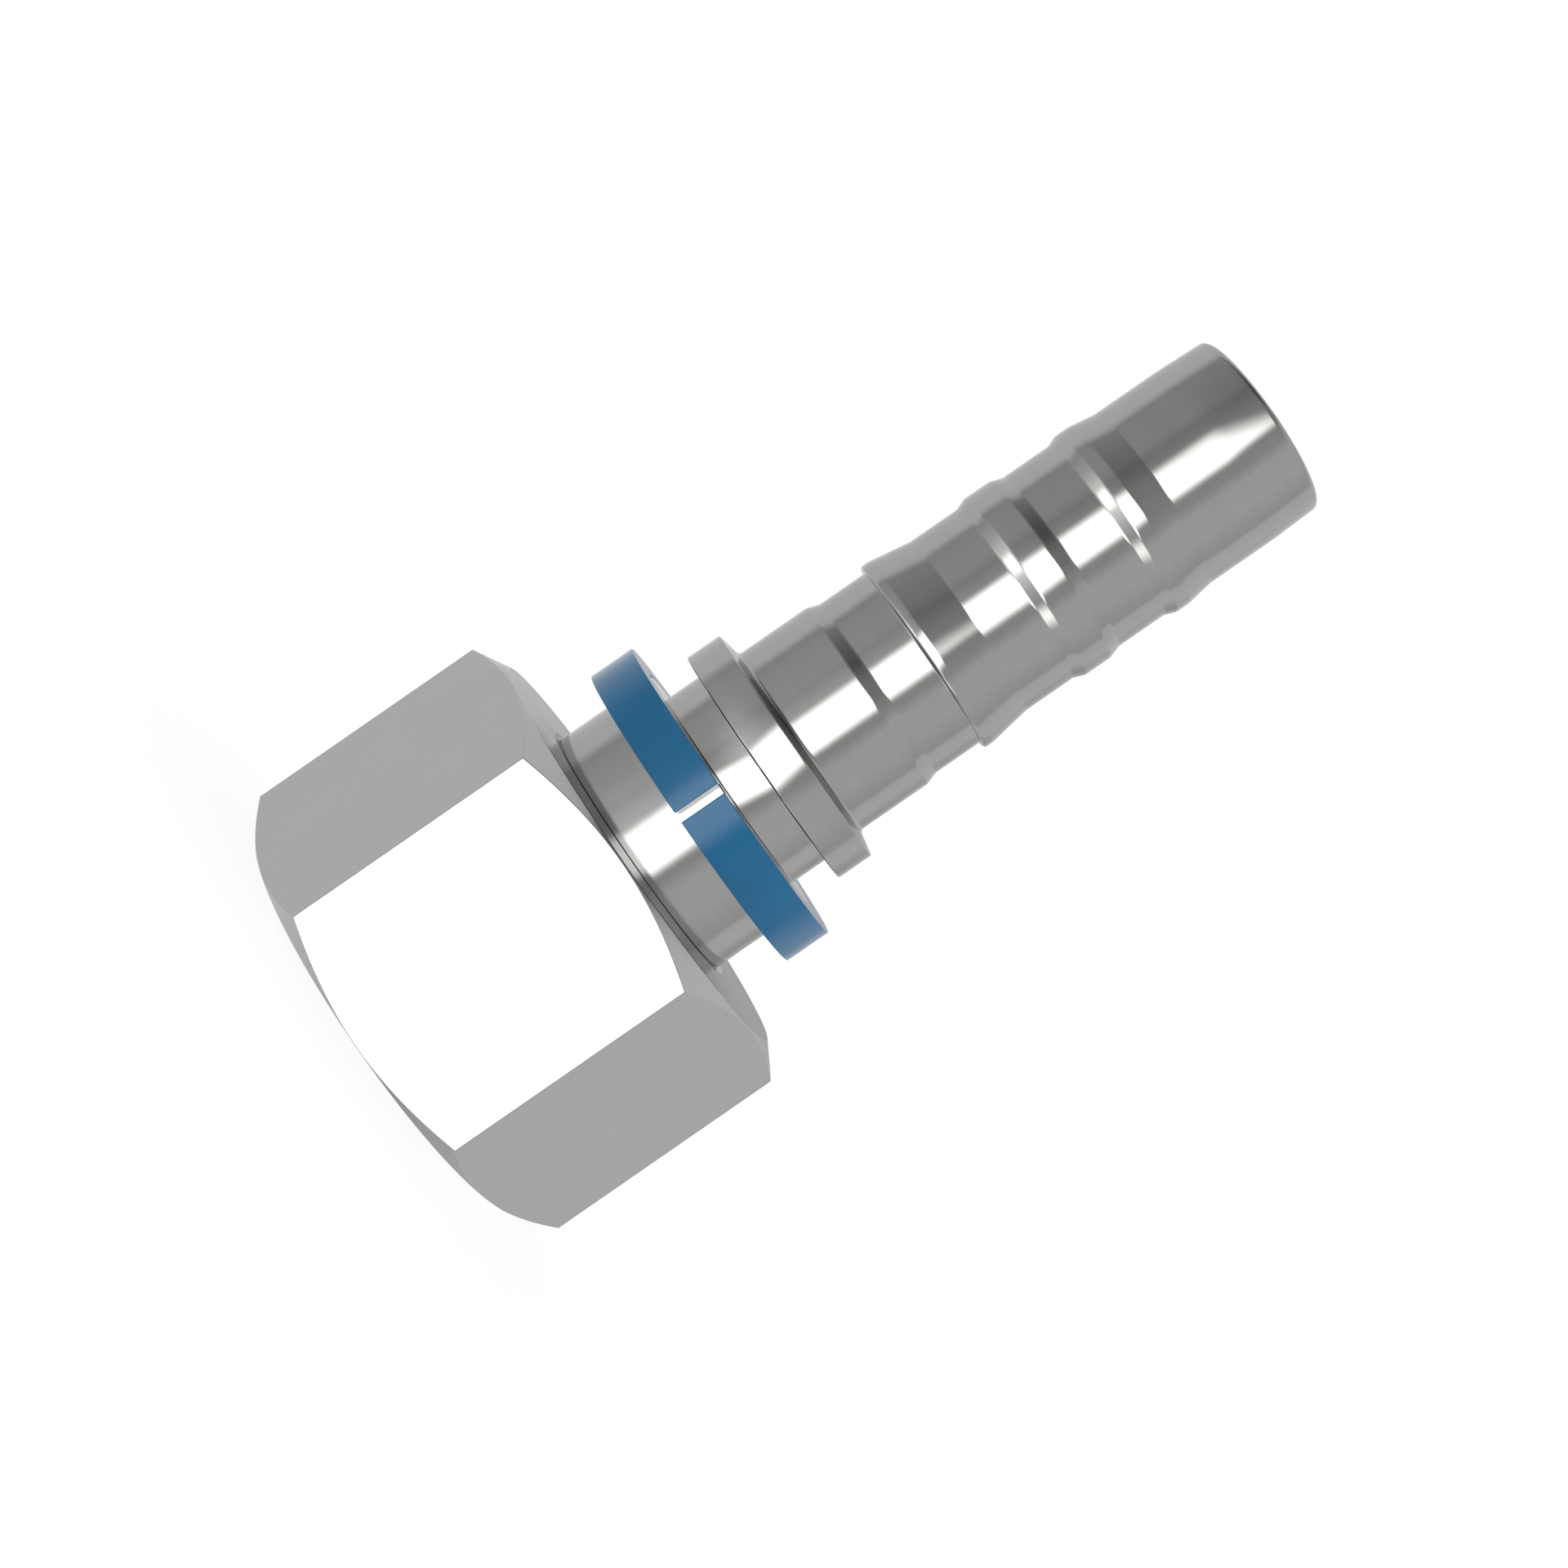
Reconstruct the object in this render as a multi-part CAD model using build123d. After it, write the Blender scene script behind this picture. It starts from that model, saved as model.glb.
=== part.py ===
from build123d import *
import math
import os

# A crimp hose nipple with a swivel nut, in millimetres. It stands on the nut's open face:
# Z runs along the axis from the nut's mouth to the hose end, and the origin is the centre
# of the nut's front face. Two flats of the hexagon face along Y, and two corners along X.

# Swivel nut, for a 30 mm spanner
nut_length = 19.8
hex_wall = 2.3                  # from the thread's major diameter to a flat
chamfer_angle = 30.0            # degrees, at both ends of the hexagon
front_chamfer_height = 1.35     # along the axis, at the hexagon's corners
rear_chamfer_height = 1.43
thread_depth = 0.982            # radial, of a 1-14 UNS thread, which the bore leaves plain
mouth_chamfer = 1.2
thread_length = 8.2             # full thread, from the mouth's chamfer
relief_width = 1.8
relief_depth = 0.2              # past the thread's major diameter
nut_rear_wall = 4.9
rear_bore_clearance = 0.2       # radial, round the neck
rear_bore_chamfer = 0.3

# Head of the nipple, inside the nut
head_thickness = 4.5
head_rim = 2.348                # radial, over the neck
head_pass_clearance = 0.27      # radial, through the nut's thread
head_edge_chamfer = 0.4
head_clearance = 0.2            # radial, in the nut's pocket
shoulder_play = 0.05            # axial, between the nut's shoulder and the head

# Necks and crimp collar
neck_length = 12.25             # from the head to the step
neck_step = 1.775               # radial, down to the thin neck
neck_edge_chamfer = 0.25
thin_neck_length = 2.6
thin_neck_rise = 0.285          # radial, over the tail's lands
collar_length = 2.6
collar_rim = 1.475              # radial, over the thin neck
collar_edge_radius = 0.12
collar_slope = 0.37             # axial, of the steep cone on the tail side
collar_foot_radius = 0.3

# Bore and barbed hose tail
bore_diameter = 9.6
bore_mouth_chamfer = 0.5
tail_wall = 1.94                # from the bore to the bottom of the grooves
land_height = 0.3
root_land_length = 5.73
root_land_ramp = 0.85
first_groove_length = 3.57
barb_height = 0.48
barb_edge_radius = 0.22         # the barb's steep side is square to the axis
barb_crest = 0.7
barb_fall = 3.0
second_groove_length = 3.75
land_rise = 0.75
middle_land_length = 2.0
middle_land_fall = 0.88
third_groove_length = 3.67
last_land_length = 1.0
last_land_fall = 1.95
end_groove_length = 5.0
nose_length = 3.65
nose_drop = 0.14                # radial, over the nose's length
nose_blend_radius = 30.0
tail_end_radius = 0.42
land_edge_radius = 0.6

# Plastic clip ring on the neck
ring_width = 3.25
ring_thickness = 2.27
ring_gap = 0.7
ring_gap_turn = 1.7             # degrees, from -Y towards -X
ring_grip_clearance = 0.02      # radial, so that the curved faces only meet

# Radii and places that follow from the sizes
groove_radius = bore_diameter / 2 + tail_wall
land_radius = groove_radius + land_height
thin_neck_radius = land_radius + thin_neck_rise
collar_radius = thin_neck_radius + collar_rim
neck_radius = thin_neck_radius + neck_step
head_radius = neck_radius + head_rim
thread_minor_radius = head_radius + head_pass_clearance
thread_major_radius = thread_minor_radius + thread_depth
hex_across_flats = 2 * (thread_major_radius + hex_wall)
nut_shoulder_z = nut_length - nut_rear_wall
head_back_z = nut_shoulder_z - shoulder_play
head_front_z = head_back_z - head_thickness
step_z = head_back_z + neck_length
collar_z = step_z + thin_neck_length
tail_z = collar_z + collar_length


def turned(points, radii=0):
    """A solid of revolution about Z from (radius, height) corners, with their fillets."""
    with BuildPart() as part:
        with BuildSketch(Plane.XZ):
            with BuildLine():
                FilletPolyline(points, radius=radii, close=True)
            make_face()
        revolve(axis=Axis.Z)
    return part.part


def swivel_nut():
    """Hexagon bar turned to a chamfer at both ends, with a threaded mouth and a rear bore."""
    corner_radius = hex_across_flats / math.sqrt(3)
    slope = math.tan(math.radians(chamfer_angle))
    blank = extrude(RegularPolygon(corner_radius, 6), nut_length)
    envelope = turned(
        [
            (0, 0),
            (corner_radius - front_chamfer_height / slope, 0),
            (corner_radius, front_chamfer_height),
            (corner_radius, nut_length - rear_chamfer_height),
            (corner_radius - rear_chamfer_height / slope, nut_length),
            (0, nut_length),
        ]
    )
    return (blank & envelope) - nut_inside()


def nut_inside():
    """The nut's hollow: mouth chamfer, thread bore, relief, head pocket and rear bore."""
    minor = thread_minor_radius
    relief = thread_major_radius + relief_depth
    pocket = head_radius + head_clearance
    rear_bore = neck_radius + rear_bore_clearance
    thread_end_z = mouth_chamfer + thread_length
    relief_end_z = thread_end_z + relief_width
    return turned(
        [
            (0, 0),
            (minor + mouth_chamfer, 0),
            (minor, mouth_chamfer),
            (minor, thread_end_z),
            (relief, thread_end_z),
            (relief, relief_end_z),
            (pocket, relief_end_z),
            (pocket, nut_shoulder_z),
            (rear_bore, nut_shoulder_z),
            (rear_bore, nut_length - rear_bore_chamfer),
            (rear_bore + rear_bore_chamfer, nut_length),
            (0, nut_length),
        ]
    )


def head_outline():
    """Corners of the head and the two necks, from the flat sealing face to the collar."""
    return [
        (head_radius - head_edge_chamfer, head_front_z, 0),
        (head_radius, head_front_z + head_edge_chamfer, 0),
        (head_radius, head_back_z, 0),
        (neck_radius, head_back_z, 0),
        (neck_radius, step_z - neck_edge_chamfer, 0),
        (neck_radius - neck_edge_chamfer, step_z, 0),
        (thin_neck_radius, step_z, 0),
        (thin_neck_radius, collar_z, 0),
    ]


def collar_outline():
    """Corners of the crimp collar: a square nut side and a steep cone on the tail side."""
    return [
        (collar_radius, collar_z, collar_edge_radius),
        (collar_radius, tail_z, collar_edge_radius),
        (land_radius, tail_z + collar_slope, collar_foot_radius),
    ]


def barb(start_z):
    """Corners of the barb, square on the nut side, and the height where it ends."""
    top = groove_radius + barb_height
    crest_end_z = start_z + barb_crest
    end_z = crest_end_z + barb_fall
    corners = [
        (groove_radius, start_z, 0),
        (top, start_z, barb_edge_radius),
        (top, crest_end_z, land_edge_radius),
        (groove_radius, end_z, land_edge_radius),
    ]
    return corners, end_z


def land(start_z, length, fall):
    """Corners of one raised land with sloping ends, and the height where it ends."""
    crest_z = start_z + land_rise
    end_z = crest_z + length + fall
    corners = [
        (groove_radius, start_z, land_edge_radius),
        (land_radius, crest_z, land_edge_radius),
        (land_radius, crest_z + length, land_edge_radius),
        (groove_radius, end_z, land_edge_radius),
    ]
    return corners, end_z


def nose(start_z):
    """Corners of the slim cone that leads into the hose, and the height of its end."""
    end_z = start_z + nose_length
    corners = [
        (groove_radius, start_z, nose_blend_radius),
        (groove_radius - nose_drop, end_z, tail_end_radius),
    ]
    return corners, end_z


def tail_outline():
    """Corners of the hose tail: root land, barb, two lands and nose, and where it ends."""
    root_end_z = tail_z + root_land_length
    groove_z = root_end_z + root_land_ramp
    root = [
        (land_radius, root_end_z, land_edge_radius),
        (groove_radius, groove_z, land_edge_radius),
    ]
    barbed, barb_end_z = barb(groove_z + first_groove_length)
    middle, middle_end_z = land(
        barb_end_z + second_groove_length, middle_land_length, middle_land_fall
    )
    last, last_end_z = land(
        middle_end_z + third_groove_length, last_land_length, last_land_fall
    )
    tip, end_z = nose(last_end_z + end_groove_length)
    return root + barbed + middle + last + tip, end_z


def nipple():
    """The one-piece turned body, from the sealing face to the hose end, with its bore."""
    tail, end_z = tail_outline()
    bore = bore_diameter / 2
    outline = [
        (bore + bore_mouth_chamfer, head_front_z, 0),
        *head_outline(),
        *collar_outline(),
        *tail,
        (bore + bore_mouth_chamfer, end_z, 0),
        (bore, end_z - bore_mouth_chamfer, 0),
        (bore, head_front_z + bore_mouth_chamfer, 0),
    ]
    points = [(radius, height) for radius, height, _ in outline]
    return turned(points, [fillet_radius for _, _, fillet_radius in outline])


def split_ring():
    """The clip ring, flush with the neck's step, with its straight-sided gap."""
    inner = neck_radius + ring_grip_clearance
    outer = neck_radius + ring_thickness
    face = Circle(outer) - Circle(inner)
    gap = Pos(0, -outer) * Rectangle(ring_gap, 2 * ring_thickness)
    profile = face - Rot(0, 0, -ring_gap_turn) * gap
    return Pos(0, 0, step_z - ring_width) * extrude(profile, ring_width)


os.makedirs("parts", exist_ok=True)
for build in (nipple, swivel_nut, split_ring):
    export_step(build(), f"parts/{build.__name__}.step")
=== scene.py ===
import math

import bmesh
import bpy
import numpy as np
from mathutils import Matrix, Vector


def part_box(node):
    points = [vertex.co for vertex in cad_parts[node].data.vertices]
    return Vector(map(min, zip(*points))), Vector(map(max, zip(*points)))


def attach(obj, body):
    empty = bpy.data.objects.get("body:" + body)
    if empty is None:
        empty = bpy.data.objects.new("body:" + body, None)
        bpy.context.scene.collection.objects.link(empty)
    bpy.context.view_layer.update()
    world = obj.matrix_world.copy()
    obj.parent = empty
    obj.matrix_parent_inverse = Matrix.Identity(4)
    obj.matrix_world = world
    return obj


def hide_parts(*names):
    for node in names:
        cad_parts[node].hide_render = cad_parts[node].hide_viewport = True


# A crimp hose nipple with its swivel nut and clip ring, standing on the nut's open face.
# Shapes are worked out in millimetres about the Z axis and become metres in piece_mesh().

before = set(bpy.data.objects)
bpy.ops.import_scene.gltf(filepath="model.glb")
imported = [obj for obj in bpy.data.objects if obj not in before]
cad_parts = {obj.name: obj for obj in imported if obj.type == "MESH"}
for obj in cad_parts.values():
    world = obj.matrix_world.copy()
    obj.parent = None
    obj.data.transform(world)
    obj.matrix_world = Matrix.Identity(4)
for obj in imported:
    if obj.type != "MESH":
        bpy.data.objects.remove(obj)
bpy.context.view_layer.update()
MM = 0.001


def millimetres(corner):
    """A corner of a CAD box in millimetres."""
    return [value / MM for value in corner]


nipple_low, nipple_high = map(millimetres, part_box("nipple"))
nut_low, nut_high = map(millimetres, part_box("swivel_nut"))
ring_low, ring_high = map(millimetres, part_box("split_ring"))

# Swivel nut
nut_length = nut_high[2]
apothem = nut_high[1]
hex_wall = 2.3                  # from the thread's major diameter to a flat
chamfer_angle = math.radians(30)
front_chamfer_height = 1.35
rear_chamfer_height = 1.43
thread_depth = 0.982
thread_pitch = 25.4 / 14
thread_angle = math.radians(60)
thread_length = 8.2
mouth_chamfer = 1.2
mouth_lip = 0.2                 # height over which the mouth's cone is still unbroken
relief_width = 1.8
relief_depth = 0.2
pocket_clearance = 0.2
nut_rear_wall = 4.9
rear_bore_clearance = 0.2
rear_bore_chamfer = 0.3
nut_edge = 0.04                 # rounding of the nut's edges
wall_middle = 13.6              # radius of a line inside the wall, from which the skin is found
wall_margin = 3.0               # how far that line stays from the nut's ends

# Nipple, by its steps outward from the bore
bore = 4.8
tail_wall = 1.94
land_height = 0.3
barb_height = 0.48
thin_neck_rise = 0.285
collar_rim = 1.475
neck_step = 1.775
nose_drop = 0.14

# Nipple, by its lengths from the head to the hose end
shoulder_play = 0.05
thin_neck_length = 2.6
collar_length = 2.6
collar_slope = 0.37
root_land_length = 5.73
root_land_ramp = 0.85
first_groove_length = 3.57
barb_crest = 0.7
barb_fall = 3.0
second_groove_length = 3.75
land_rise = 0.75
middle_land_length = 2.0
middle_land_fall = 0.88
third_groove_length = 3.67
last_land_length = 1.0
last_land_fall = 1.95
end_groove_length = 5.0

# Chamfers and roundings of the nipple's edges
bore_chamfer = 0.5
head_edge = 0.4
neck_edge = 0.12
collar_edge = 0.12
collar_foot = 0.3
barb_edge = 0.22
land_edge = 0.6
nose_blend = 30.0
tail_edge = 0.42
edge_break = 0.05               # rounding of edges that the lathe leaves square
inner_corner = 0.08             # the tool's nose radius in square inner corners

# Radii that follow
head = nipple_high[0]
groove = bore + tail_wall
land_top = groove + land_height
barb_top = groove + barb_height
thin_neck = land_top + thin_neck_rise
collar = thin_neck + collar_rim
neck = thin_neck + neck_step
rear_bore = neck + rear_bore_clearance
rear_mouth = rear_bore + rear_bore_chamfer
thread_major = apothem - hex_wall
thread_minor = thread_major - thread_depth
mouth = thread_minor + mouth_chamfer
relief = thread_major + relief_depth
pocket = head + pocket_clearance
hexagon_corner = apothem / math.cos(math.pi / 6)
front_face = hexagon_corner - front_chamfer_height / math.tan(chamfer_angle)
rear_face = hexagon_corner - rear_chamfer_height / math.tan(chamfer_angle)

# Heights that follow
thread_end = mouth_chamfer + thread_length
relief_end = thread_end + relief_width
shoulder = nut_length - nut_rear_wall
head_front = nipple_low[2]
head_back = shoulder - shoulder_play
step_height = ring_high[2]
collar_height = step_height + thin_neck_length
collar_end = collar_height + collar_length
tail_end = nipple_high[2]

# Clip ring
ring_grip_clearance = 0.02
ring_outer = ring_high[0]
ring_inner = neck + ring_grip_clearance
ring_gap = 0.7
ring_gap_turn = math.radians(1.7)
ring_edge = 0.06
ring_lead = 0.2                 # chamfer of the ring's inner edge at its tail face

# How finely the round pieces are divided
nipple_columns = 288
ring_columns = 241


def piece_mesh(name, vertices, faces):
    """A mesh from millimetre points, with doubles merged, so that seams and poles are closed."""
    mesh = bpy.data.meshes.new(name)
    mesh.from_pydata((vertices * MM).tolist(), [], list(faces))
    shell = bmesh.new()
    shell.from_mesh(mesh)
    bmesh.ops.remove_doubles(shell, verts=shell.verts, dist=1e-8)
    bmesh.ops.dissolve_degenerate(shell, edges=shell.edges, dist=1e-8)
    shell.to_mesh(mesh)
    shell.free()
    mesh.shade_smooth()
    piece = bpy.data.objects.new(name, mesh)
    bpy.context.scene.collection.objects.link(piece)
    return piece


def even_shading(piece):
    """Large faces set the shading of their corners, so that flats stay flat up to their edges."""
    weighted = piece.modifiers.new("even_shading", "WEIGHTED_NORMAL")
    weighted.mode = "FACE_AREA"
    weighted.weight = 100
    weighted.keep_sharp = False


def grid_faces(columns, rows, start=0, wrap_columns=True, wrap_rows=False):
    """Quads between neighbours of a grid of points whose index is column times rows plus row."""
    index = start + np.arange(columns * rows).reshape(columns, rows)
    if wrap_columns:
        index = np.vstack([index, index[:1]])
    if wrap_rows:
        index = np.hstack([index, index[:, :1]])
    a, b = index[:-1, :-1], index[1:, :-1]
    c, d = index[1:, 1:], index[:-1, 1:]
    return np.stack([a, b, c, d], -1).reshape(-1, 4)


def around(angles, radius, height):
    """Points of a surface about Z: x is radius times cosine of the angle, y is radius times sine."""
    x = radius * np.cos(angles)
    y = radius * np.sin(angles)
    return np.stack(np.broadcast_arrays(x, y, height), -1).reshape(-1, 3)


def rounded(corners, steps=10, closed=True):
    """A (radius, height) outline with an arc at each corner.

    An arc of radius f touches both runs at f times tan(turn / 2) from the corner. Its centre lies
    on the corner's bisector, and its points are the centre plus f times a direction that swings
    from one run's normal to the other's.
    """
    points = np.array([corner[:2] for corner in corners], float)
    fillets = np.array([corner[2] for corner in corners], float)
    before = np.roll(points, 1, 0) - points
    after = np.roll(points, -1, 0) - points
    before /= np.linalg.norm(before, axis=1, keepdims=True)
    after /= np.linalg.norm(after, axis=1, keepdims=True)
    turn = np.pi - np.arccos(np.clip((before * after).sum(1), -1, 1))
    reach = fillets * np.tan(turn / 2)
    bisector = (before + after) / np.linalg.norm(before + after, axis=1, keepdims=True)
    centre = points + bisector * (fillets / np.cos(turn / 2))[:, None]
    first = points + before * reach[:, None] - centre
    last = points + after * reach[:, None] - centre
    swing = np.linspace(0, 1, steps)[None, :, None]
    angle = turn[:, None, None]
    arc = np.sin((1 - swing) * angle) * first[:, None] + np.sin(swing * angle) * last[:, None]
    outline = (centre[:, None] + arc / np.sin(angle)).reshape(-1, 2)
    if closed:
        return outline
    return np.vstack([points[:1], outline[steps:-steps], points[-1:]])


def land_corners(start, crest_end, end):
    """Corners of a raised land with sloping ends."""
    return [
        (groove, start, land_edge),
        (land_top, start + land_rise, land_edge),
        (land_top, crest_end, land_edge),
        (groove, end, land_edge),
    ]


def tail_corners():
    """Corners of the hose tail from the collar's foot to the nose: barb and lands between grooves."""
    root_end = collar_end + root_land_length
    first_groove = root_end + root_land_ramp
    barb = first_groove + first_groove_length
    crest_end = barb + barb_crest
    second_groove = crest_end + barb_fall
    middle_land = second_groove + second_groove_length
    middle_end = middle_land + land_rise + middle_land_length
    third_groove = middle_end + middle_land_fall
    last_land = third_groove + third_groove_length
    last_end = last_land + land_rise + last_land_length
    end_groove = last_end + last_land_fall
    return [
        (land_top, collar_end + collar_slope, collar_foot),
        (land_top, root_end, land_edge),
        (groove, first_groove, land_edge),
        (groove, barb, inner_corner),
        (barb_top, barb, barb_edge),
        (barb_top, crest_end, land_edge),
        (groove, second_groove, land_edge),
        *land_corners(middle_land, middle_end, third_groove),
        *land_corners(last_land, last_end, end_groove),
        (groove, end_groove + end_groove_length, nose_blend),
        (groove - nose_drop, tail_end, tail_edge),
    ]


def nipple_corners():
    """Corners of the nipple's half section with their roundings, from the sealing face to the bore."""
    return [
        (bore + bore_chamfer, head_front, edge_break),
        (head - head_edge, head_front, edge_break),
        (head, head_front + head_edge, edge_break),
        (head, head_back, edge_break),
        (neck, head_back, inner_corner),
        (neck, step_height - neck_edge, edge_break),
        (neck - neck_edge, step_height, edge_break),
        (thin_neck, step_height, inner_corner),
        (thin_neck, collar_height, inner_corner),
        (collar, collar_height, collar_edge),
        (collar, collar_end, collar_edge),
        *tail_corners(),
        (bore + bore_chamfer, tail_end, edge_break),
        (bore, tail_end - bore_chamfer, edge_break),
        (bore, head_front + bore_chamfer, edge_break),
    ]


def nipple():
    """The turned body: its rounded half section swept once round Z."""
    outline = rounded(nipple_corners())
    angles = np.linspace(0, 2 * np.pi, nipple_columns, endpoint=False)[:, None]
    points = around(angles, outline[None, :, 0], outline[None, :, 1])
    faces = grid_faces(len(angles), len(outline), wrap_rows=True)
    piece = piece_mesh("turned_nipple", points, faces)
    even_shading(piece)
    return piece


def hexagon_angles(corner_points=6, flat_points=34):
    """Angles round the nut: even steps along each flat, and finer ones through each rounded corner.

    The tangent of each, from its flat's middle, is the place along the flat over the apothem.
    """
    half = apothem * math.tan(math.pi / 6)
    soft = 2.0 * nut_edge
    corner = np.linspace(0, soft, corner_points)
    flat = np.linspace(soft - half, half - soft, flat_points)
    along = np.concatenate([corner - half, flat[1:-1], half - corner[:0:-1]])
    one_flat = np.arctan2(along, apothem)
    return (one_flat[None, :] + np.arange(6)[:, None] * np.pi / 3 + np.pi / 6).ravel()


def soft_solid(angles, radius, height):
    """How far a point lies outside the nut: the rounded greatest distance outside its bounding faces.

    Each face gives a distance: two hexagon flats, both ends, the two outer cones and the two bore
    cones. Where two or more come within the edge's rounding of the surface, their root of summed
    squares, less the rounding, makes a soft edge between them.
    """
    sector = np.mod(angles, np.pi / 3) - np.pi / 6
    sine, cosine = math.sin(chamfer_angle), math.cos(chamfer_angle)
    distances = np.stack([
        radius * np.cos(sector) - apothem,
        radius * np.cos(sector - np.copysign(np.pi / 3, sector)) - apothem,
        -height + 0 * radius,
        height - nut_length + 0 * radius,
        (radius - front_face) * sine - height * cosine,
        (radius - rear_face) * sine - (nut_length - height) * cosine,
        (mouth - radius - height) * math.sqrt(0.5),
        (rear_mouth - radius + height - nut_length) * math.sqrt(0.5),
    ])
    near = np.sqrt((np.maximum(distances + nut_edge, 0) ** 2).sum(0)) - nut_edge
    deep = distances.max(0)
    return np.where(deep < -nut_edge, deep, near)


def near_corner(start, end, reach=0.3, steps=9):
    """Shares of a run from one corner to the next: crowded within reach of both ends, even between."""
    length = np.maximum(np.linalg.norm(end - start, axis=-1), 1e-6)
    crowded = np.array([0, 0.12, 0.25, 0.4, 0.6, 0.85]) * reach
    most = np.linspace(0, 0.45, len(crowded))
    share = np.minimum(crowded / length[:, None], most)
    middle = share[:, -1:] + np.linspace(0, 1, steps)[1:-1] * (1 - 2 * share[:, -1:])
    return np.hstack([share, middle, 1 - share[:, ::-1]])


def nut_chain(angles):
    """The nut's sharp outer section at each angle: corners from the mouth's cone to the rear bore's.

    A flat's radius is the apothem over the cosine of the angle from its middle. A chamfer rises
    from the end face's radius to the flat's by their difference times the chamfer's slope.
    """
    flat = apothem / np.cos(np.mod(angles, np.pi / 3) - np.pi / 6)
    slope = math.tan(chamfer_angle)
    corners = [
        (mouth - mouth_lip, mouth_lip),
        (mouth, 0),
        (front_face, 0),
        (flat, (flat - front_face) * slope),
        (flat, nut_length - (flat - rear_face) * slope),
        (rear_face, nut_length),
        (rear_mouth, nut_length),
        (rear_bore, nut_length - rear_bore_chamfer),
    ]
    level = np.ones_like(angles)
    return [np.stack([radius * level, height * level], -1) for radius, height in corners]


def nut_outside(angles, halvings=40):
    """The nut's outer skin, from the mouth's cone round the hexagon to the rear bore's cone.

    A ray from the line inside the wall through each point of the sharp section is followed by
    halving until it crosses the soft solid. It may run a fifth past that point.
    """
    chain = nut_chain(angles)
    runs = []
    for start, end in zip(chain, chain[1:]):
        share = near_corner(start, end)[:, :, None]
        runs.append((start[:, None] + share * (end - start)[:, None])[:, :-1])
    target = np.concatenate(runs + [chain[-1][:, None]], 1)
    inside = np.clip(target[..., 1], wall_margin, nut_length - wall_margin)
    origin = np.stack([np.full_like(inside, wall_middle), inside], -1)
    low = np.zeros_like(inside)
    high = np.full_like(inside, 1.2)
    for _ in range(halvings):
        middle = (low + high) / 2
        point = origin + middle[..., None] * (target - origin)
        outside = soft_solid(angles[:, None], point[..., 0], point[..., 1]) > 0
        high = np.where(outside, middle, high)
        low = np.where(outside, low, middle)
    point = origin + high[..., None] * (target - origin)
    point[:, 0], point[:, -1] = target[:, 0], target[:, -1]
    return point


def thread_radius(angles, height):
    """The bore's radius on the thread, or on the mouth's cone where that is wider.

    Past the flat root it falls by the distance along Z over the tangent of half the thread's
    angle, from the major radius down to the minor one, which is the flat crest.
    """
    turn = height / thread_pitch - angles / (2 * np.pi)
    away = np.abs(turn - np.round(turn)) * thread_pitch
    flank = (away - thread_pitch / 16) / math.tan(thread_angle / 2)
    cut = thread_major - np.clip(flank, 0, thread_depth)
    return np.maximum(cut, mouth - height)


def nut_thread(angles):
    """The thread as one ribbon: its profile across a pitch, carried up a helix about Z.

    The angle grows along the ribbon, and the height is the share of a turn times the pitch. Heights
    past the mouth's cone or the relief are held at that level, where the doubles are merged.
    """
    turns = math.ceil((thread_end - mouth_lip) / thread_pitch) + 2
    along = (angles[None, :] + 2 * np.pi * np.arange(-1, turns - 1)[:, None]).ravel()
    along = np.append(along, angles[0] + 2 * np.pi * (turns - 1))
    crest, root = thread_pitch / 8, thread_pitch / 16
    across = np.concatenate([
        np.linspace(-thread_pitch / 2, -thread_pitch / 2 + crest, 4)[:-1],
        np.linspace(-thread_pitch / 2 + crest, -root, 8)[:-1],
        np.linspace(-root, root, 4)[:-1],
        np.linspace(root, thread_pitch / 2 - crest, 8)[:-1],
        np.linspace(thread_pitch / 2 - crest, thread_pitch / 2, 4),
    ])
    height = along[:, None] / (2 * np.pi) * thread_pitch + across[None, :]
    height = np.clip(height, mouth_lip, thread_end)
    radius = thread_radius(along[:, None], height)
    points = around(along[:, None], radius, height)
    faces = grid_faces(len(along), len(across), wrap_columns=False)
    low = points[faces][:, :, 2].max(1) > mouth_lip
    high = points[faces][:, :, 2].min(1) < thread_end
    return points, faces[low & high][:, ::-1]


def nut_inside(angles):
    """The turned hollow behind the thread, swept round Z: relief, pocket, shoulder and rear bore."""
    outline = rounded([
        (rear_bore, nut_length - rear_bore_chamfer, 0),
        (rear_bore, shoulder, edge_break),
        (pocket, shoulder, inner_corner),
        (pocket, relief_end, edge_break),
        (relief, relief_end, inner_corner),
        (relief, thread_end, 0),
    ], closed=False)
    radius = np.broadcast_to(outline[None, :, 0], (len(angles), len(outline)))
    radius = np.hstack([radius, thread_radius(angles, thread_end)[:, None]])
    height = np.append(outline[:, 1], thread_end)
    return around(angles[:, None], radius, height[None, :]), radius.shape[1]


def swivel_nut():
    """The hexagon nut: outer skin, hollow and thread, three grids that share their edge points."""
    angles = hexagon_angles()
    skin = nut_outside(angles)
    rows = skin.shape[1]
    skin = around(angles[:, None], skin[..., 0], skin[..., 1])
    hollow, hollow_rows = nut_inside(angles)
    thread, thread_faces = nut_thread(angles)
    faces = np.vstack([
        grid_faces(len(angles), rows),
        grid_faces(len(angles), hollow_rows, start=len(skin)),
        thread_faces + len(skin) + len(hollow),
    ])
    piece = piece_mesh("hex_swivel_nut", np.vstack([skin, hollow, thread]), faces)
    even_shading(piece)
    return piece


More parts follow.
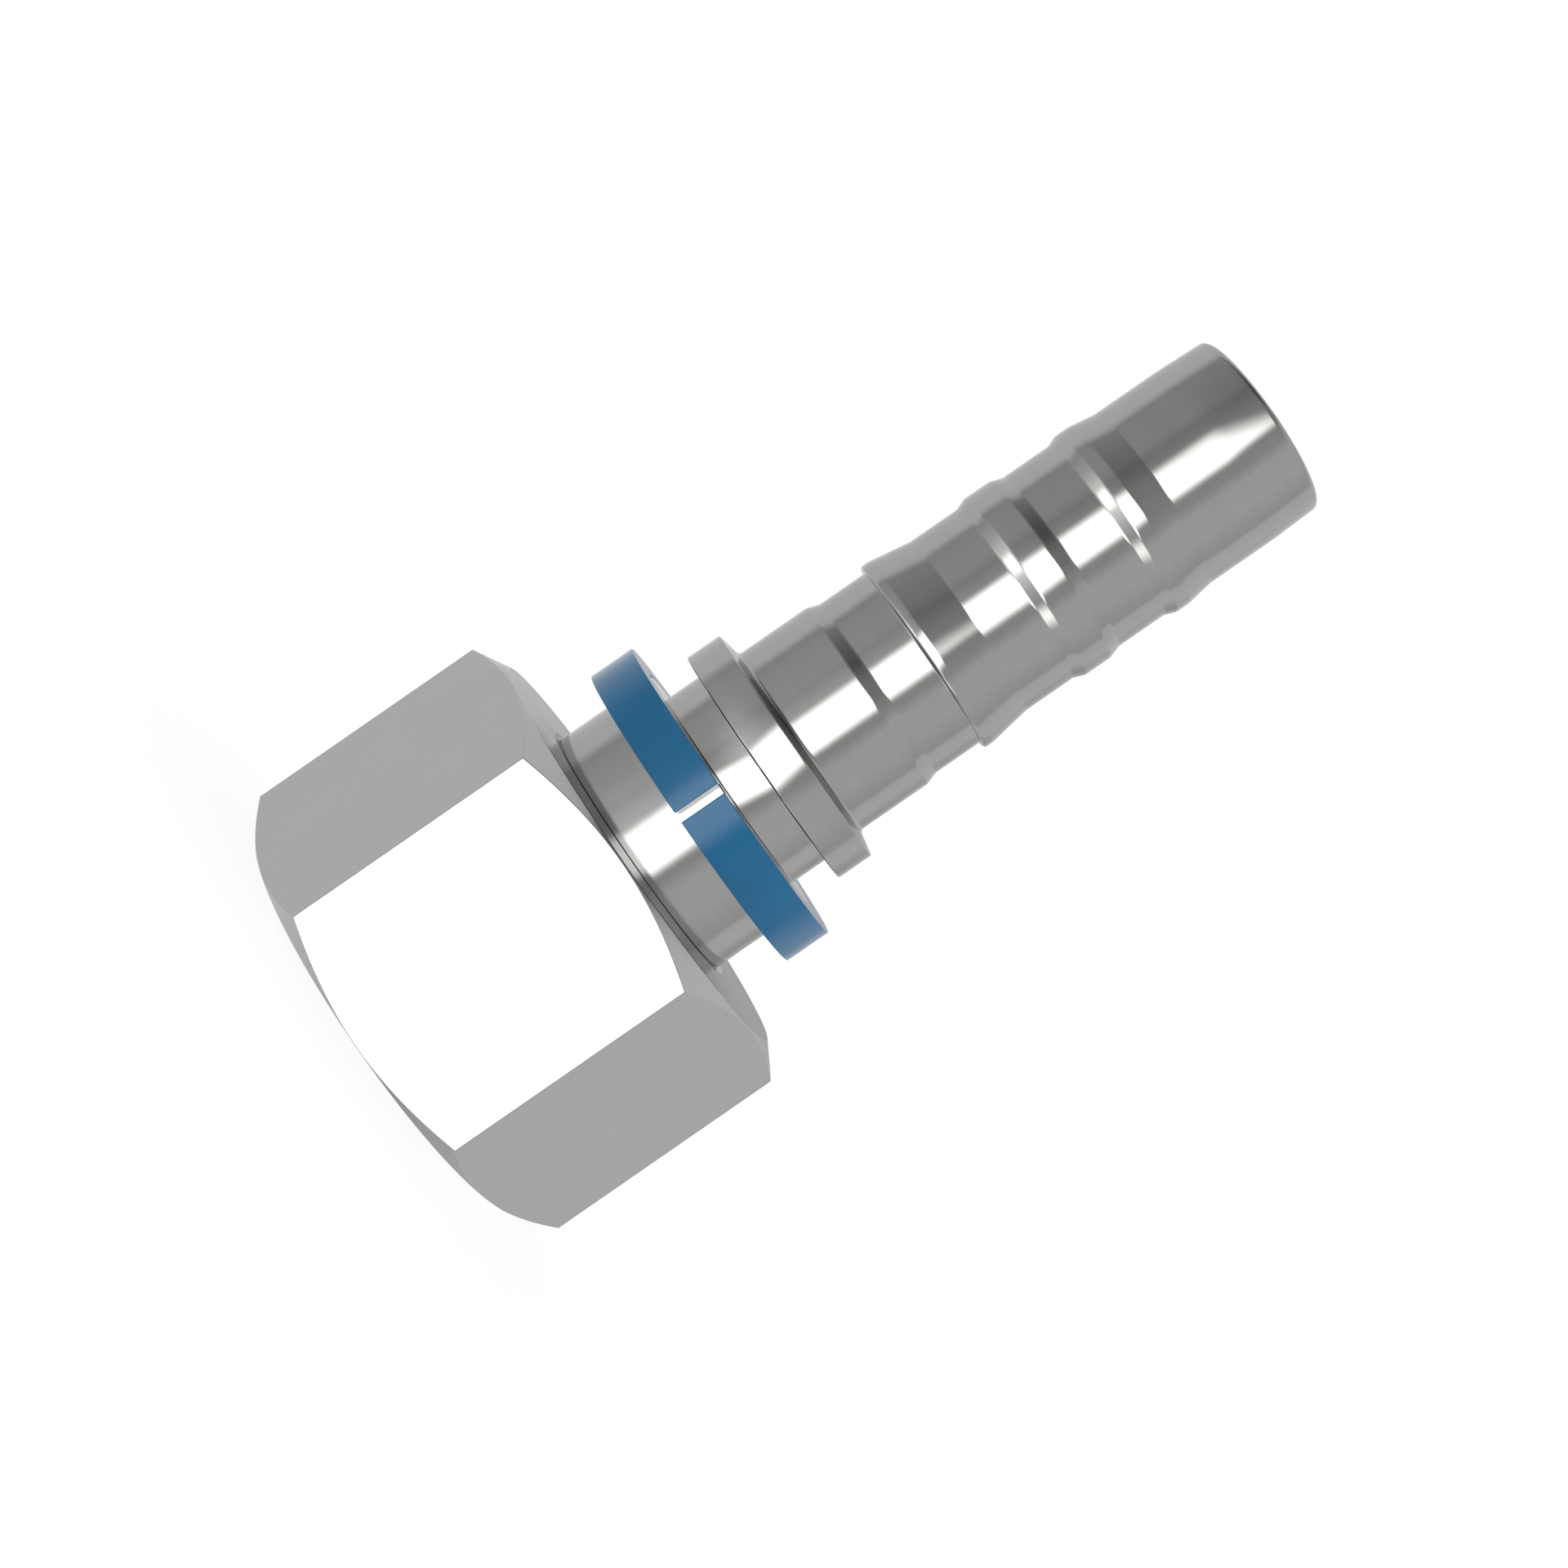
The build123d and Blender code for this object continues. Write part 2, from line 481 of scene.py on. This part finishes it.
def split_ring():
    """The clip ring: its section's corners carried round Z from one wall of the gap to the other.

    At radius r each wall of the gap starts at the angle whose sine is half the gap over r, so that
    the walls are flat and parallel.
    """
    low, high = ring_low[2], ring_high[2]
    radius = np.array([ring_inner, ring_outer, ring_outer, ring_inner + ring_lead, ring_inner])
    height = np.array([low, low, high, high, high - ring_lead])
    share = np.linspace(0, 1, ring_columns)[:, None]
    wall = np.arcsin(ring_gap / 2 / radius)[None, :]
    middle = -np.pi / 2 - ring_gap_turn
    angles = middle + wall + share * (2 * np.pi - 2 * wall)
    points = around(angles, radius[None, :], height[None, :])
    faces = grid_faces(len(share), len(radius), wrap_columns=False, wrap_rows=True).tolist()
    first = list(range(len(radius)))
    last = [len(points) - 1 - corner for corner in first]
    piece = piece_mesh("clip_ring", points, faces + [first, last])
    bevel = piece.modifiers.new("moulded_edges", "BEVEL")
    bevel.width = ring_edge * MM
    bevel.segments = 3
    bevel.limit_method = "ANGLE"
    bevel.angle_limit = math.radians(40)
    even_shading(piece)
    return piece


class Nodes:
    """Adds nodes and links to one node tree."""

    def __init__(self, tree):
        self.tree = tree

    def add(self, kind, settings=None, **inputs):
        """A node of that kind, with its settings. An input is a value or another node's socket.

        It is given by its name, with _ for a space, or by its place as i0, i1 and so on.
        """
        node = self.tree.nodes.new(kind)
        for name, value in (settings or {}).items():
            setattr(node, name, value)
        for name, value in inputs.items():
            numbered = name[0] == "i" and name[1:].isdigit()
            place = int(name[1:]) if numbered else name.replace("_", " ")
            self.plug(node.inputs[place], value)
        return node

    def plug(self, socket, value):
        """Links a socket to an input, or sets the input's value."""
        if isinstance(value, bpy.types.NodeSocket):
            self.tree.links.new(value, socket)
        else:
            socket.default_value = value

    def math(self, operation, *values):
        """The result of one Math node."""
        node = self.tree.nodes.new("ShaderNodeMath")
        node.operation = operation
        for socket, value in zip(node.inputs, values):
            self.plug(socket, value)
        return node.outputs[0]

    def ramp(self, value, low, high, start=0.0, end=1.0):
        """A smooth step of a value from start to end as it goes from low to high."""
        node = self.add("ShaderNodeMapRange", {"interpolation_type": "SMOOTHSTEP"})
        numbers = {"Value": value, "From Min": low, "From Max": high, "To Min": start, "To Max": end}
        for name, number in numbers.items():
            self.plug(node.inputs[name], number)
        return node.outputs[0]


def new_group(name, inputs, outputs):
    """A shader node group with float or vector sockets, as {name: (kind, default)}."""
    tree = bpy.data.node_groups.new(name, "ShaderNodeTree")
    for socket, (kind, default) in inputs.items():
        made = tree.interface.new_socket(socket, in_out="INPUT", socket_type="NodeSocket" + kind)
        if default is not None:
            made.default_value = default
    for socket, kind in outputs.items():
        tree.interface.new_socket(socket, in_out="OUTPUT", socket_type="NodeSocket" + kind)
    nodes = Nodes(tree)
    return nodes, tree.nodes.new("NodeGroupInput").outputs, tree.nodes.new("NodeGroupOutput").inputs


def turning_marks_group():
    """Fine rings that a lathe tool leaves: noise read by radius and height alone, so it runs round Z."""
    nodes, given, result = new_group(
        "turning_marks",
        {"Position": ("Vector", None), "Rings per mm": ("Float", 8.0)},
        {"Height": "Float", "Shade": "Float"},
    )
    flat = nodes.add("ShaderNodeVectorMath", {"operation": "MULTIPLY"},
                     i0=given["Position"], i1=(1, 1, 0))
    radius = nodes.add("ShaderNodeVectorMath", {"operation": "LENGTH"},
                       i0=flat.outputs[0]).outputs["Value"]
    height = nodes.add("ShaderNodeSeparateXYZ", i0=given["Position"]).outputs["Z"]
    place = nodes.add("ShaderNodeCombineXYZ", X=radius, Y=height)
    scale = nodes.math("DIVIDE", given["Rings per mm"], MM)
    fine = nodes.add("ShaderNodeTexNoise", {"noise_dimensions": "2D"},
                     Vector=place.outputs[0], Scale=scale, Detail=2.0, Roughness=0.6)
    broad = nodes.add("ShaderNodeTexNoise", {"noise_dimensions": "2D"},
                      Vector=place.outputs[0], Scale=nodes.math("MULTIPLY", scale, 0.16), Detail=3.0)
    nodes.plug(result["Height"], fine.outputs["Fac"])
    nodes.plug(result["Shade"], nodes.ramp(broad.outputs["Fac"], 0.3, 0.7))
    return nodes.tree


def handling_group():
    """Soft clouds and fine specks, as handled metal and plastic have: noise in two sizes."""
    nodes, given, result = new_group(
        "handling",
        {"Position": ("Vector", None), "Size in mm": ("Float", 6.0)},
        {"Clouds": "Float", "Specks": "Float"},
    )
    scale = nodes.math("DIVIDE", 1 / MM, given["Size in mm"])
    clouds = nodes.add("ShaderNodeTexNoise", Vector=given["Position"],
                       Scale=scale, Detail=3.0, Distortion=0.6)
    specks = nodes.add("ShaderNodeTexNoise", Vector=given["Position"],
                       Scale=nodes.math("MULTIPLY", scale, 40.0), Detail=1.0)
    nodes.plug(result["Clouds"], nodes.ramp(clouds.outputs["Fac"], 0.3, 0.7))
    nodes.plug(result["Specks"], specks.outputs["Fac"])
    return nodes.tree


def new_material(name):
    """A material with its own Principled shader, and the piece's object position."""
    material = bpy.data.materials.new(name)
    material.use_nodes = True
    nodes = Nodes(material.node_tree)
    shader = material.node_tree.nodes["Principled BSDF"]
    position = nodes.add("ShaderNodeTexCoord").outputs["Object"]
    return material, nodes, shader, position


def blend_colour(nodes, share, first, second):
    """A colour between two, by a share."""
    mix = nodes.add("ShaderNodeMix", {"data_type": "RGBA"})
    nodes.plug(mix.inputs["Factor"], share)
    nodes.plug(mix.inputs[6], (*first, 1))
    nodes.plug(mix.inputs[7], (*second, 1))
    return mix.outputs[2]


# Finishes: the two colours that each one varies between, and its roughness as a plain level and
# what the clouds add to it
turned_colours = (0.361, 0.356, 0.347), (0.369, 0.364, 0.355)
turned_gloss = 0.075, 0.025
bar_colours = (0.398, 0.393, 0.386), (0.438, 0.433, 0.424)
bar_gloss = 0.23, 0.03
edge_tint = (0.84, 0.84, 0.84, 1)
plastic_colours = (0.001, 0.116, 0.262), (0.002, 0.13, 0.29)
plastic_gloss = 0.15, 0.04
plastic_index = 1.42


def finish(nodes, shader, colour, clouds, gloss):
    """Gives a shader its colour, and a roughness that grows with the clouds."""
    plain, clouded = gloss
    nodes.plug(shader.inputs["Base Color"], colour)
    nodes.plug(shader.inputs["Roughness"], nodes.math("MULTIPLY_ADD", clouds, clouded, plain))


def surface_relief(nodes, shader, height, strength, depth):
    """Gives a shader a fine surface relief of that depth in millimetres."""
    bump = nodes.add("ShaderNodeBump", Height=height, Strength=strength, Distance=depth * MM)
    nodes.plug(shader.inputs["Normal"], bump.outputs[0])


def steel(name, marks, handling):
    """A stainless steel with the turning marks and the handling effect placed in it."""
    material, nodes, shader, position = new_material(name)
    rings = nodes.add("ShaderNodeGroup", {"node_tree": marks}, Position=position).outputs
    touch = nodes.add("ShaderNodeGroup", {"node_tree": handling}, Position=position).outputs
    shader.inputs["Metallic"].default_value = 1.0
    shader.inputs["Specular Tint"].default_value = edge_tint
    return material, nodes, shader, rings, touch


def turned_steel(marks, handling):
    """Bright turned steel: near mirror, with fine rings and faint clouds in its gloss."""
    material, nodes, shader, rings, touch = steel("turned_steel", marks, handling)
    colour = blend_colour(nodes, rings["Shade"], *turned_colours)
    finish(nodes, shader, colour, touch["Clouds"], turned_gloss)
    surface_relief(nodes, shader, rings["Height"], strength=0.2, depth=0.0006)
    return material


def nut_steel(marks, handling):
    """Satin steel bar: a fine even grain, and faint rings from the lathe."""
    material, nodes, shader, rings, touch = steel("nut_steel", marks, handling)
    colour = blend_colour(nodes, touch["Specks"], *bar_colours)
    finish(nodes, shader, colour, touch["Clouds"], bar_gloss)
    grain = nodes.math("ADD", nodes.math("MULTIPLY", rings["Height"], 0.4), touch["Specks"])
    surface_relief(nodes, shader, grain, strength=0.25, depth=0.001)
    return material


def ring_plastic(handling):
    """Blue moulded plastic with a faintly uneven gloss."""
    material, nodes, shader, position = new_material("ring_plastic")
    touch = nodes.add("ShaderNodeGroup", {"node_tree": handling}, Position=position).outputs
    shader.inputs["IOR"].default_value = plastic_index
    colour = blend_colour(nodes, touch["Clouds"], *plastic_colours)
    finish(nodes, shader, colour, touch["Clouds"], plastic_gloss)
    surface_relief(nodes, shader, touch["Specks"], strength=0.15, depth=0.002)
    return material


def oval_card(nodes, azimuth, latitude, centre, size, softness):
    """A share that is 1 inside an oval card of the studio and 0 outside, with soft edges.

    The oval's measure is the root of the summed squares of the offsets, each over its half size.
    """
    across = nodes.math("DIVIDE", nodes.math("SUBTRACT", azimuth, centre[0]), size[0])
    up = nodes.math("DIVIDE", nodes.math("SUBTRACT", latitude, centre[1]), size[1])
    squares = nodes.math("ADD", nodes.math("MULTIPLY", across, across), nodes.math("MULTIPLY", up, up))
    return nodes.ramp(nodes.math("SQRT", squares), 1 - softness, 1 + softness, 1.0, 0.0)


def straight_card(nodes, azimuth, latitude, edges):
    """A share that is 1 inside a card with straight soft edges: the product of one step for each edge.

    An edge is the direction that it faces, its distance from the front's centre, and its softness.
    """
    share = 1.0
    for facing, distance, softness in edges:
        right = nodes.math("MULTIPLY", azimuth, math.cos(math.radians(facing)))
        reach = nodes.math("MULTIPLY_ADD", latitude, math.sin(math.radians(facing)), right)
        inside = nodes.ramp(reach, distance - softness, distance + softness, 1.0, 0.0)
        share = nodes.math("MULTIPLY", inside, share)
    return share


# The studio round the object, in degrees: azimuth from the front (-Y) towards +X, and latitude
# above the horizon. Levels are relative to the white backdrop, and change evenly between stops.
walls = [
    (-180, 0.65), (-172, 0.95), (-108, 0.95),   # left wall, with a darker panel behind the object
    (-97, 0.6), (-60, 1.0), (-50, 1.0),         # dark corner on the left, and a pale screen before it
    (-42, 0.8), (-20, 0.8), (5, 0.52),          # front wall, darkest behind the camera
    (30, 0.6), (42, 0.83), (72, 0.85),          # right front wall
    (104, 0.7), (109, 0.92), (158, 1.0),        # dim corner, and the white right wall
    (172, 0.6),
]
# Large soft box in front: its edges face right, up to the right, left, up to the left, up and down
soft_box = [(23, 18.7, 4.8), (30, 18.7, 7.5), (206, 17.4, 5), (115, 17.3, 6), (90, 23, 2), (270, 24, 4)]
soft_box_level = 2.75
# Ovals as centre, half size, softness and level: darker corners take a share away, lamps add
shades = [
    ((-47, 60), (41, 55), 0.99, 0.85),
    ((-75, 57), (30, 29), 0.99, 0.45),
    ((150, -8), (14, 14), 0.99, 0.4),
]
lamps = [
    ((-31, -37), (13, 10), 0.55, 1.9),
    ((46, -38), (11, 10), 0.99, 2.1),
    ((-18, -24), (29, 18), 0.99, 1.15),
]


def wall_level(nodes, azimuth):
    """The walls' brightness at an azimuth, from a ramp that holds their stops."""
    ramp = nodes.add("ShaderNodeValToRGB")
    stops = ramp.color_ramp.elements
    while len(stops) < len(walls):
        stops.new(0.5)
    for stop, (place, level) in zip(stops, walls):
        stop.position = (place + 180) / 360
        stop.color = (level, level, level, 1)
    nodes.plug(ramp.inputs[0], nodes.math("MULTIPLY_ADD", azimuth, 1 / 360, 0.5))
    return ramp.outputs[0]


def room_level(nodes):
    """The room's brightness in each direction: walls, less the shades, plus the lamps and soft box."""
    direction = nodes.add("ShaderNodeTexCoord").outputs["Generated"]
    parts = nodes.add("ShaderNodeSeparateXYZ", i0=direction).outputs
    degrees = 180 / math.pi
    front = nodes.math("MULTIPLY", parts["Y"], -1.0)
    azimuth = nodes.math("MULTIPLY", nodes.math("ARCTAN2", parts["X"], front), degrees)
    latitude = nodes.math("MULTIPLY", nodes.math("ARCSINE", parts["Z"]), degrees)
    level = wall_level(nodes, azimuth)
    for centre, size, softness, depth in shades:
        dim = oval_card(nodes, azimuth, latitude, centre, size, softness)
        level = nodes.math("MULTIPLY", level, nodes.math("MULTIPLY_ADD", dim, -depth, 1.0))
    for centre, size, softness, added in lamps:
        card = oval_card(nodes, azimuth, latitude, centre, size, softness)
        level = nodes.math("MULTIPLY_ADD", card, added, level)
    card = straight_card(nodes, azimuth, latitude, soft_box)
    return nodes.math("MULTIPLY_ADD", card, soft_box_level, level)


def studio():
    """A white backdrop for the camera, and the room for all that lights or shows in the object."""
    world = bpy.data.worlds.new("studio")
    bpy.context.scene.world = world
    world.use_nodes = True
    world.node_tree.nodes.clear()
    nodes = Nodes(world.node_tree)
    room = nodes.add("ShaderNodeBackground", Strength=room_level(nodes), Color=(1, 1, 1, 1))
    backdrop = nodes.add("ShaderNodeBackground", Strength=1.0, Color=(1, 1, 1, 1))
    seen = nodes.add("ShaderNodeLightPath").outputs["Is Camera Ray"]
    mix = nodes.add("ShaderNodeMixShader", i0=seen, i1=room.outputs[0], i2=backdrop.outputs[0])
    nodes.add("ShaderNodeOutputWorld", Surface=mix.outputs[0])


# White floor: half its side in millimetres, its own grey, which takes the shadow, and its glow
floor_half = 3000.0
floor_grey = 0.2
floor_glow = 0.88


def floor():
    """A plain white floor under the nut, with a faint shadow."""
    corners = floor_half * np.array([[-1, -1, 0], [1, -1, 0], [1, 1, 0], [-1, 1, 0]])
    piece = piece_mesh("studio_floor", corners, np.array([[0, 1, 2, 3]]))
    material, nodes, shader, _ = new_material("floor_white")
    shader.inputs["Base Color"].default_value = (floor_grey, floor_grey, floor_grey, 1)
    shader.inputs["Roughness"].default_value = 1.0
    shader.inputs["Specular IOR Level"].default_value = 0.0
    shader.inputs["Emission Color"].default_value = (1, 1, 1, 1)
    shader.inputs["Emission Strength"].default_value = floor_glow
    piece.data.materials.append(material)
    piece.visible_glossy = False


# The camera, found from the photograph's perspective. It looks along +Y, rolled so that the
# axis of the part runs up to the right.
focal_pixels = 3583.0
photo_size = 1920.0
sensor = 36.0
camera_place = (1.67, -193.0, 33.94)
camera_roll = math.radians(34.65)
principal_point = (1016.5, 921.0)


def camera():
    """The photograph's camera: its right and up directions follow from the roll."""
    data = bpy.data.cameras.new("photo_camera")
    data.sensor_width = sensor
    data.lens = focal_pixels / photo_size * sensor
    data.shift_x = (photo_size / 2 - principal_point[0]) / photo_size
    data.shift_y = (principal_point[1] - photo_size / 2) / photo_size
    data.clip_start = 0.001
    seen = bpy.data.objects.new("photo_camera", data)
    bpy.context.scene.collection.objects.link(seen)
    sine, cosine = math.sin(camera_roll), math.cos(camera_roll)
    turn = Matrix(((sine, -cosine, 0), (0, 0, -1), (cosine, sine, 0)))
    seen.matrix_world = Matrix.Translation([value * MM for value in camera_place]) @ turn.to_4x4()
    bpy.context.scene.camera = seen


def dress(piece, material, body, node):
    """Gives a piece its finish, and lets it ride on its body in place of its CAD node."""
    piece.data.materials.append(material)
    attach(piece, body)
    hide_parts(node)


camera()
studio()
floor()
marks = turning_marks_group()
handling = handling_group()
dress(nipple(), turned_steel(marks, handling), "body", "nipple")
dress(swivel_nut(), nut_steel(marks, handling), "nut", "swivel_nut")
dress(split_ring(), ring_plastic(handling), "body", "split_ring")

bpy.context.scene.view_settings.view_transform = "Standard"
